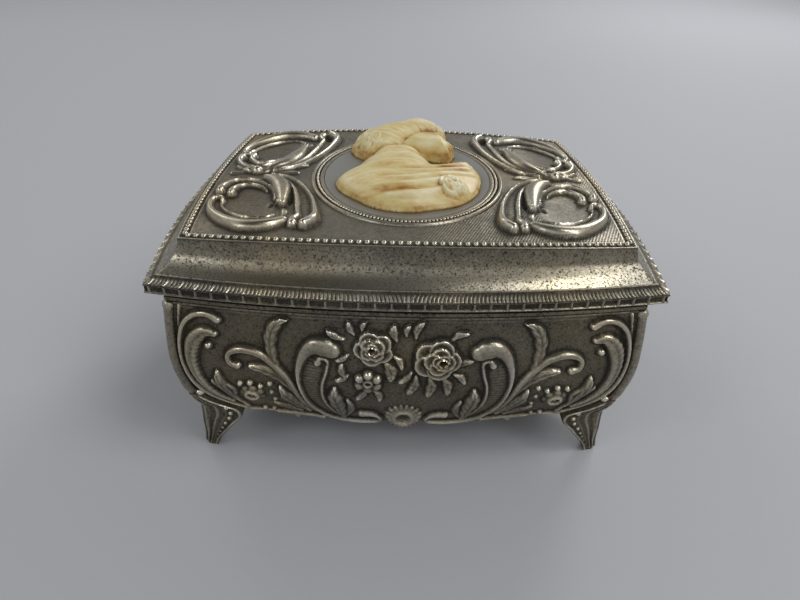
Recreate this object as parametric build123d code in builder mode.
from build123d import *

import os

# Footed vanity trinket box with a hinged, domed lid that carries an oval cameo.
# Millimetres. +X is the width (to the right), +Y runs to the back, +Z is up.
# The origin is the middle of the footprint, on the surface that the feet stand on.

# ---------------------------------------------------------------- driving dimensions
RIM_WIDTH = 114.3  # widest point of the lid rim, left to right
RIM_DEPTH = 91.8  # widest point of the lid rim, front to back
FRONT_ARC_RADIUS = 294.1  # plan curve of the front and back of the rim
SIDE_ARC_RADIUS = 267.1  # plan curve of the two sides of the rim
CORNER_X = 54.0  # corner of the rim, from the middle
CORNER_Y = 40.9

WALL = 2.0  # casting thickness of the box walls
BODY_TOP = 46.0
LID_BOTTOM = 46.15
SEAT_HEIGHT = 14.4  # ledge that the bottom plate rests on
APRON_TOP = 13.2  # lower edge of the walls beside the feet

# Outside of the bombe walls: (height, inset from the rim outline)
BODY_PROFILE = [(SEAT_HEIGHT, 7.0), (17.0, 5.9), (20.0, 4.6), (25.0, 3.1), (31.0, 2.4), (38.0, 2.7), (BODY_TOP, 3.45)]
APRON_PROFILE = [(7.5, 10.9), (10.0, 9.5)]  # the walls continued down to the apron's tip
APRON_INSIDE = [(7.4, 12.8), (SEAT_HEIGHT + 0.1, 11.0)]  # inner side of the apron and ledge
FRONT_DROP_HALF = 26.0  # half width of the apron's drop on the front and back
SIDE_DROP_HALF = 19.0
APRON_MIDWAY = 10.7  # height of the drop's curve at 0.7 of its half width
APRON_SHOULDER = 9.4
APRON_SHOULDER_SHARE = 0.42  # where the drop levels out, as a share of its half width
APRON_TIP = 7.9
APRON_TIP_HALF = 4.0
APRON_CUT_Y = 30.0  # the scalloped cuts run in to here from the front and back
APRON_CUT_X = 41.0  # and to here from the sides

# Corner posts and feet: (height, inset of their outer corner from the rim corner, size ...)
POST_PROFILE = [(APRON_TOP, 6.2), (17.0, 4.8), (20.0, 3.3), (25.0, 2.0), (31.0, 1.4), (38.0, 1.8), (45.4, 2.5)]
POST_SIDE = 3.4
FOOT_PROFILE = [
    (0.0, 4.7, 2.8, 2.4),
    (4.0, 4.2, 4.2, 2.6),
    (9.0, 4.8, 7.2, 3.2),
    (12.8, 5.1, 10.0, 4.0),
    (14.2, 5.1, 9.4, 2.6),
    (17.0, 4.0, 5.5, 2.6),
    (20.0, 3.0, 2.2, 1.8),
]

BOTTOM_PLATE_THICKNESS = 1.0
PLATE_PLAY = 0.1  # gap round the bottom plate

LINING_GAP = 0.05
LINING_THICKNESS = 1.2
LINING_BOTTOM = 15.6
LINING_TOP = 41.6
LINING_CORNER_X = 46.2  # half length of the front and back linings
LINING_CORNER_Y = 33.15  # the side linings stop here, clear of the front and back ones
SIDE_LINING_START = 40.0  # everything of the ring beyond this is side lining
FLOOR_PAD_INSET = 10.1
FLOOR_PAD_THICKNESS = 2.8

# Lid, outside: (height, inset)
LID_SKIRT = [(LID_BOTTOM, 3.45), (47.1, 2.3), (49.2, 2.0)]
LID_BAND = [(49.0, 0.8), (49.8, 0.0), (51.5, 0.0), (53.0, 2.1)]
LID_COVE = [(53.0, 2.1), (54.3, 4.4), (56.2, 6.1), (59.0, 7.2), (61.0, 7.7)]
LID_CAVITY = [(42.0, 7.05), (48.0, 7.05), (57.4, 9.8)]
PANEL_CROWN_TOP = 60.35  # top of the slightly domed panel
PANEL_CROWN_RADIUS = 944.0
LIP_BOTTOM = 42.9
LIP_OUTER_INSET = 5.85
LID_PAD_INSET = 10.4
LID_PAD_BOTTOM = 55.4
LID_PAD_TOP = 57.3

# Oval setting: half width, half depth
BEZEL_OUTER = (24.2, 29.3)
BEZEL_INNER = (20.9, 26.0)
BACKPLATE = (20.85, 25.95)
SETTING_FLOOR = 59.4
BEZEL_TOP = 61.8
BACKPLATE_TOP = 60.6
SETTING_CUT = 5.0  # pocket cut from the setting's floor up through the panel
BEZEL_CHAMFER = 0.8

# Figure in relief: middle in depth, then (height over the plate, half width, half depth)
SHOULDERS = (-8.5, [(0.0, 17.4, 14.8), (3.0, 15.4, 12.6), (5.0, 9.0, 7.0)])
NECK = (4.0, [(0.0, 7.5, 9.0), (4.5, 5.0, 8.0)])
HEAD = (15.0, [(0.0, 13.0, 10.3), (5.0, 11.5, 9.3), (8.0, 5.5, 4.5)])

# Hinges: two alike, one each side of the middle of the back
HINGE_CENTRES = [-14.0, 14.0]
HINGE_NAMES = ["left", "right"]
HINGE_AXIS_Y = 43.7
HINGE_AXIS_Z = 47.3
KNUCKLE_RADIUS = 1.3
PIN_RADIUS = 0.6
LID_BORE_RADIUS = 0.65
HINGE_HALF = 6.0  # half width of a leaf
LID_KNUCKLE_HALF = 2.0
KNUCKLE_GAP = 0.1
PIN_HALF = 6.4
LEAF_SEAT_Y = 41.8  # flat cut in the back wall for the body leaf
LEAF_THICKNESS = 0.9
LEAF_BOTTOM = 42.0
LEAF_NOTCH_BOTTOM = 45.7  # room for the lid's knuckle in the top of the body leaf
LEAF_NOTCH_HEIGHT = 3.0
LID_LEAF_TOP = 49.6
LID_LEAF_THICKNESS = 0.7
LID_LEAF_FRONT = 40.7
LID_LEAF_BACK = 44.7
LID_STRAP_THICKNESS = 1.4  # web from the lid leaf down to its knuckle
HINGE_RECESS_HALF = 6.7  # recess in the lid over each hinge
HINGE_RECESS_FRONT = 40.5
HINGE_RECESS_DEPTH = 8.0
PIN_CHAMFER = 0.15
RIVET_SPACING = 7.0
RIVET_RADIUS = 0.7
RIVET_HEAD_RADIUS = 1.0
RIVET_HEAD_HEIGHT = 0.4
BODY_RIVET_Z = 43.8
BODY_RIVET_END = 41.1
LID_RIVET_Y = 41.9
LID_RIVET_END = 52.0
RIVET_TAPER = 20.0

CORNERS = {"left": -1, "right": 1}
ENDS = {"front": -1, "back": 1}
BEYOND = 200.0  # longer than anything it cuts


# ---------------------------------------------------------------- shared shapes
def outline(height, inset):
    """Plan face of four shallow arcs, a given inset inside the widest rim."""
    front_arc_centre = FRONT_ARC_RADIUS - RIM_DEPTH / 2
    side_arc_centre = SIDE_ARC_RADIUS - RIM_WIDTH / 2
    with BuildSketch(Plane.XY.offset(height)) as face:
        with Locations((0, front_arc_centre)):
            Circle(FRONT_ARC_RADIUS - inset)
        with Locations((0, -front_arc_centre)):
            Circle(FRONT_ARC_RADIUS - inset, mode=Mode.INTERSECT)
        with Locations((side_arc_centre, 0)):
            Circle(SIDE_ARC_RADIUS - inset, mode=Mode.INTERSECT)
        with Locations((-side_arc_centre, 0)):
            Circle(SIDE_ARC_RADIUS - inset, mode=Mode.INTERSECT)
    return face.sketch


def loft_outline(levels, extra_inset=0.0, ruled=False, mode=Mode.ADD):
    """Loft the plan outline through (height, inset) levels in the part being built."""
    sections = [outline(height, inset + extra_inset) for height, inset in levels]
    loft(sections=sections, ruled=ruled, mode=mode)


def oval_face(height, middle, half_width, half_depth):
    """Plan face of an oval whose middle is at a depth."""
    with BuildSketch(Plane.XY.offset(height)) as face:
        with Locations((0, middle)):
            Ellipse(half_width, half_depth)
    return face.sketch


def post_face(height, inset, side_x, side_y):
    """Square section of a corner post, its outer corner at the given corner inset."""
    with BuildSketch(Plane.XY.offset(height)) as face:
        reach_x = CORNER_X - inset - POST_SIDE / 2
        reach_y = CORNER_Y - inset - POST_SIDE / 2
        with Locations((side_x * reach_x, side_y * reach_y)):
            Rectangle(POST_SIDE, POST_SIDE)
    return face.sketch


def foot_face(height, inset, leg, thickness, side_x, side_y):
    """L section of a foot: two legs that run along the box sides from the corner."""
    tip_x = CORNER_X - inset
    tip_y = CORNER_Y - inset
    points = [
        (tip_x, tip_y),
        (tip_x - leg, tip_y),
        (tip_x - leg, tip_y - thickness),
        (tip_x - thickness, tip_y - thickness),
        (tip_x - thickness, tip_y - leg),
        (tip_x, tip_y - leg),
    ]
    with BuildSketch(Plane.XY.offset(height)) as face:
        with BuildLine():
            Polyline([(side_x * x, side_y * y) for x, y in points], close=True)
        make_face()
    return face.sketch


def apron_cut(half_length, drop_half):
    """Profile below the scalloped lower edge of a wall, drawn in width and height."""
    shoulder = drop_half * APRON_SHOULDER_SHARE
    midway = drop_half * 0.7
    with BuildSketch() as face:
        with BuildLine():
            left = ThreePointArc((-drop_half, APRON_TOP), (-midway, APRON_MIDWAY), (-shoulder, APRON_SHOULDER))
            tip = ThreePointArc((-APRON_TIP_HALF, APRON_SHOULDER), (0, APRON_TIP), (APRON_TIP_HALF, APRON_SHOULDER))
            right = ThreePointArc((shoulder, APRON_SHOULDER), (midway, APRON_MIDWAY), (drop_half, APRON_TOP))
            Line(left @ 1, tip @ 0)
            Line(tip @ 1, right @ 0)
            Polyline(
                right @ 1,
                (half_length, APRON_TOP),
                (half_length, 0),
                (-half_length, 0),
                (-half_length, APRON_TOP),
                left @ 0,
            )
        make_face()
    return face.sketch


def save(part, name):
    """Label a finished piece and write it as STEP."""
    part.label = name
    export_step(part, f"parts/{name}.step")


os.makedirs("parts", exist_ok=True)

# ---------------------------------------------------------------- box body
# the walls as one block, with the corner posts and the scalloped lower edges
with BuildPart() as wall_block:
    loft_outline(APRON_PROFILE + BODY_PROFILE[:1], ruled=True)
    loft_outline(BODY_PROFILE)
    for side_x in CORNERS.values():
        for side_y in ENDS.values():
            loft(sections=[post_face(height, inset, side_x, side_y) for height, inset in POST_PROFILE])
    for side_y in ENDS.values():
        with BuildSketch(Plane.XZ.offset(-side_y * RIM_DEPTH)):
            add(apron_cut(RIM_WIDTH, FRONT_DROP_HALF))
        extrude(amount=side_y * (RIM_DEPTH - APRON_CUT_Y), mode=Mode.SUBTRACT)
    for side_x in CORNERS.values():
        with BuildSketch(Plane.YZ.offset(side_x * RIM_WIDTH)):
            add(apron_cut(RIM_DEPTH, SIDE_DROP_HALF))
        extrude(amount=-side_x * (RIM_WIDTH - APRON_CUT_X), mode=Mode.SUBTRACT)

with BuildPart() as body_shell:
    add(wall_block.part)
    loft_outline(BODY_PROFILE, WALL, mode=Mode.SUBTRACT)
    loft_outline(APRON_INSIDE, ruled=True, mode=Mode.SUBTRACT)
    # seats for the hinge leaves at the top of the back wall, with blind rivet holes
    for centre in HINGE_CENTRES:
        with Locations((centre, LEAF_SEAT_Y, LEAF_BOTTOM)):
            Box(
                2 * (HINGE_HALF + KNUCKLE_GAP),
                WALL,
                WALL + BODY_TOP - LEAF_BOTTOM,
                align=(Align.CENTER, Align.MIN, Align.MIN),
                mode=Mode.SUBTRACT,
            )
        with Locations(Plane.XZ.offset(-LEAF_SEAT_Y)):
            with Locations((centre, BODY_RIVET_Z)):
                with GridLocations(RIVET_SPACING, 1, 2, 1):
                    Cylinder(
                        RIVET_RADIUS,
                        LEAF_SEAT_Y - BODY_RIVET_END,
                        align=(Align.CENTER, Align.CENTER, Align.MIN),
                        mode=Mode.SUBTRACT,
                    )
save(body_shell.part, "body_shell")

with BuildPart() as bottom_plate:
    with BuildSketch(Plane.XY.offset(SEAT_HEIGHT)):
        add(outline(0, BODY_PROFILE[0][1] + WALL + PLATE_PLAY))
    extrude(amount=BOTTOM_PLATE_THICKNESS)
save(bottom_plate.part, "bottom_plate")

# ---------------------------------------------------------------- feet
for end, side_y in ENDS.items():
    for side, side_x in CORNERS.items():
        with BuildPart() as foot:
            loft(sections=[foot_face(*level, side_x, side_y) for level in FOOT_PROFILE], ruled=True)
            add(wall_block.part, mode=Mode.SUBTRACT)
        save(foot.part, f"{end}_{side}_foot")

# ---------------------------------------------------------------- linings of the box
PAD_BOTTOM = SEAT_HEIGHT + BOTTOM_PLATE_THICKNESS
with BuildPart() as floor_pad:
    with BuildSketch(Plane.XY.offset(PAD_BOTTOM)):
        add(outline(0, FLOOR_PAD_INSET))
    extrude(amount=FLOOR_PAD_THICKNESS)
save(floor_pad.part, "velvet_floor_pad")

with BuildPart() as lining_ring:
    loft_outline(BODY_PROFILE, WALL + LINING_GAP)
    loft_outline(BODY_PROFILE, WALL + LINING_GAP + LINING_THICKNESS, mode=Mode.SUBTRACT)
    with Locations((0, 0, LINING_BOTTOM)):
        Box(BEYOND, BEYOND, BEYOND, align=(Align.CENTER, Align.CENTER, Align.MAX), mode=Mode.SUBTRACT)
    with Locations((0, 0, LINING_TOP)):
        Box(BEYOND, BEYOND, BEYOND, align=(Align.CENTER, Align.CENTER, Align.MIN), mode=Mode.SUBTRACT)

for end, side_y in ENDS.items():
    with BuildPart() as lining:
        add(lining_ring.part)
        with Locations((0, side_y * (LINING_CORNER_Y + LINING_GAP + BEYOND / 2), 0)):
            Box(2 * LINING_CORNER_X, BEYOND, BEYOND, mode=Mode.INTERSECT)
    save(lining.part, f"{end}_wall_lining")
for side, side_x in CORNERS.items():
    with BuildPart() as lining:
        add(lining_ring.part)
        with Locations((side_x * (SIDE_LINING_START + BEYOND / 2), 0, 0)):
            Box(BEYOND, 2 * (LINING_CORNER_Y - LINING_GAP), BEYOND, mode=Mode.INTERSECT)
    save(lining.part, f"{side}_wall_lining")

# ---------------------------------------------------------------- lid
with BuildPart() as lid_shell:
    loft_outline(LID_SKIRT, ruled=True)
    loft_outline(LID_BAND, ruled=True)
    loft_outline(LID_COVE)
    with BuildSketch(Plane.XZ):
        with Locations((0, PANEL_CROWN_TOP - PANEL_CROWN_RADIUS)):
            Circle(PANEL_CROWN_RADIUS)
    extrude(amount=RIM_DEPTH, both=True, mode=Mode.INTERSECT)
    loft_outline([(LIP_BOTTOM, LIP_OUTER_INSET), (LID_BOTTOM + 0.5, LIP_OUTER_INSET)], ruled=True)
    loft_outline(LID_CAVITY, ruled=True, mode=Mode.SUBTRACT)
    # pocket for the oval setting
    with BuildSketch(Plane.XY.offset(SETTING_FLOOR)):
        Ellipse(*BEZEL_OUTER)
    extrude(amount=SETTING_CUT, mode=Mode.SUBTRACT)
    for centre in HINGE_CENTRES:
        # recess over the hinge knuckles, then the rivet holes above its ceiling
        with Locations((centre, HINGE_RECESS_FRONT, LIP_BOTTOM)):
            Box(
                2 * HINGE_RECESS_HALF,
                HINGE_RECESS_DEPTH,
                LID_LEAF_TOP - LIP_BOTTOM,
                align=(Align.CENTER, Align.MIN, Align.MIN),
                mode=Mode.SUBTRACT,
            )
        with Locations((centre, LID_RIVET_Y, LID_LEAF_TOP)):
            with GridLocations(RIVET_SPACING, 1, 2, 1):
                Cylinder(
                    RIVET_RADIUS,
                    LID_RIVET_END - LID_LEAF_TOP,
                    align=(Align.CENTER, Align.CENTER, Align.MIN),
                    mode=Mode.SUBTRACT,
                )
save(lid_shell.part, "lid_shell")

with BuildPart() as lid_pad:
    with BuildSketch(Plane.XY.offset(LID_PAD_BOTTOM)):
        add(outline(0, LID_PAD_INSET))
    extrude(amount=LID_PAD_TOP - LID_PAD_BOTTOM)
save(lid_pad.part, "lid_lining_pad")

# ---------------------------------------------------------------- oval cameo setting
with BuildPart() as bezel:
    with BuildSketch(Plane.XY.offset(SETTING_FLOOR)):
        Ellipse(*BEZEL_OUTER)
        Ellipse(*BEZEL_INNER, mode=Mode.SUBTRACT)
    extrude(amount=BEZEL_TOP - SETTING_FLOOR)
    chamfer(bezel.faces().sort_by(Axis.Z)[-1].outer_wire().edges(), BEZEL_CHAMFER)
save(bezel.part, "cameo_bezel")

with BuildPart() as backplate:
    with BuildSketch(Plane.XY.offset(SETTING_FLOOR)):
        Ellipse(*BACKPLATE)
    extrude(amount=BACKPLATE_TOP - SETTING_FLOOR)
save(backplate.part, "cameo_backplate")

# Half-length figure in relief: shoulders, neck and head as stacked ovals
with BuildPart() as figure:
    for middle, levels in (SHOULDERS, NECK, HEAD):
        loft(sections=[oval_face(BACKPLATE_TOP + height, middle, wide, deep) for height, wide, deep in levels])
save(figure.part, "cameo_figure")

# ---------------------------------------------------------------- hinges
for name, centre in zip(HINGE_NAMES, HINGE_CENTRES):
    axis_plane = Plane.YZ.offset(centre)
    outer_length = HINGE_HALF - LID_KNUCKLE_HALF - KNUCKLE_GAP
    outer_middle = LID_KNUCKLE_HALF + KNUCKLE_GAP + outer_length / 2

    with BuildPart() as body_leaf:
        with Locations((centre, LEAF_SEAT_Y, LEAF_BOTTOM)):
            Box(
                2 * HINGE_HALF,
                LEAF_THICKNESS,
                HINGE_AXIS_Z - LEAF_BOTTOM,
                align=(Align.CENTER, Align.MIN, Align.MIN),
            )
        with Locations((centre, LEAF_SEAT_Y, LEAF_NOTCH_BOTTOM)):
            Box(
                2 * (LID_KNUCKLE_HALF + KNUCKLE_GAP),
                LEAF_THICKNESS,
                LEAF_NOTCH_HEIGHT,
                align=(Align.CENTER, Align.MIN, Align.MIN),
                mode=Mode.SUBTRACT,
            )
        for side in (-1, 1):
            with BuildSketch(Plane.YZ.offset(centre + side * outer_middle)):
                with Locations((HINGE_AXIS_Y, HINGE_AXIS_Z)):
                    Circle(KNUCKLE_RADIUS)
            extrude(amount=outer_length / 2, both=True)
        with BuildSketch(axis_plane):
            with Locations((HINGE_AXIS_Y, HINGE_AXIS_Z)):
                Circle(PIN_RADIUS)
        extrude(amount=PIN_HALF, both=True, mode=Mode.SUBTRACT)
        with Locations(Plane.XZ.offset(-LEAF_SEAT_Y - LEAF_THICKNESS)):
            with Locations((centre, BODY_RIVET_Z)):
                with GridLocations(RIVET_SPACING, 1, 2, 1):
                    Hole(RIVET_RADIUS, LEAF_THICKNESS)
    save(body_leaf.part, f"body_hinge_leaf_{name}")

    with BuildPart() as lid_leaf:
        with Locations((centre, LID_LEAF_FRONT, LID_LEAF_TOP)):
            Box(
                2 * HINGE_HALF,
                LID_LEAF_BACK - LID_LEAF_FRONT,
                LID_LEAF_THICKNESS,
                align=(Align.CENTER, Align.MIN, Align.MAX),
            )
        with Locations((centre, HINGE_AXIS_Y, HINGE_AXIS_Z + PIN_RADIUS)):
            Box(
                2 * LID_KNUCKLE_HALF,
                LID_STRAP_THICKNESS,
                LID_LEAF_TOP - HINGE_AXIS_Z - PIN_RADIUS,
                align=(Align.CENTER, Align.CENTER, Align.MIN),
            )
        with BuildSketch(axis_plane):
            with Locations((HINGE_AXIS_Y, HINGE_AXIS_Z)):
                Circle(KNUCKLE_RADIUS)
        extrude(amount=LID_KNUCKLE_HALF, both=True)
        with BuildSketch(axis_plane):
            with Locations((HINGE_AXIS_Y, HINGE_AXIS_Z)):
                Circle(LID_BORE_RADIUS)
        extrude(amount=PIN_HALF, both=True, mode=Mode.SUBTRACT)
        with Locations((centre, LID_RIVET_Y, LID_LEAF_TOP)):
            with GridLocations(RIVET_SPACING, 1, 2, 1):
                Hole(RIVET_RADIUS, LID_LEAF_THICKNESS)
    save(lid_leaf.part, f"lid_hinge_leaf_{name}")

    with BuildPart() as pin:
        with BuildSketch(axis_plane):
            with Locations((HINGE_AXIS_Y, HINGE_AXIS_Z)):
                Circle(PIN_RADIUS)
        extrude(amount=PIN_HALF, both=True)
        chamfer(pin.edges().filter_by(GeomType.CIRCLE), PIN_CHAMFER)
    save(pin.part, f"hinge_pin_{name}")

with BuildPart() as body_rivets:
    for centre in HINGE_CENTRES:
        for side in (-1, 1):
            x = centre + side * RIVET_SPACING / 2
            with BuildSketch(Plane.XZ.offset(-BODY_RIVET_END)):
                with Locations((x, BODY_RIVET_Z)):
                    Circle(RIVET_RADIUS)
            extrude(amount=-(LEAF_SEAT_Y + LEAF_THICKNESS - BODY_RIVET_END))
            with BuildSketch(Plane.XZ.offset(-LEAF_SEAT_Y - LEAF_THICKNESS)):
                with Locations((x, BODY_RIVET_Z)):
                    Circle(RIVET_HEAD_RADIUS)
            extrude(amount=-RIVET_HEAD_HEIGHT, taper=RIVET_TAPER)
save(body_rivets.part, "body_hinge_rivets")

with BuildPart() as lid_rivets:
    for centre in HINGE_CENTRES:
        for side in (-1, 1):
            x = centre + side * RIVET_SPACING / 2
            with BuildSketch(Plane.XY.offset(LID_RIVET_END)):
                with Locations((x, LID_RIVET_Y)):
                    Circle(RIVET_RADIUS)
            extrude(amount=-(LID_RIVET_END - LID_LEAF_TOP + LID_LEAF_THICKNESS))
            with BuildSketch(Plane.XY.offset(LID_LEAF_TOP - LID_LEAF_THICKNESS)):
                with Locations((x, LID_RIVET_Y)):
                    Circle(RIVET_HEAD_RADIUS)
            extrude(amount=-RIVET_HEAD_HEIGHT, taper=RIVET_TAPER)
save(lid_rivets.part, "lid_hinge_rivets")
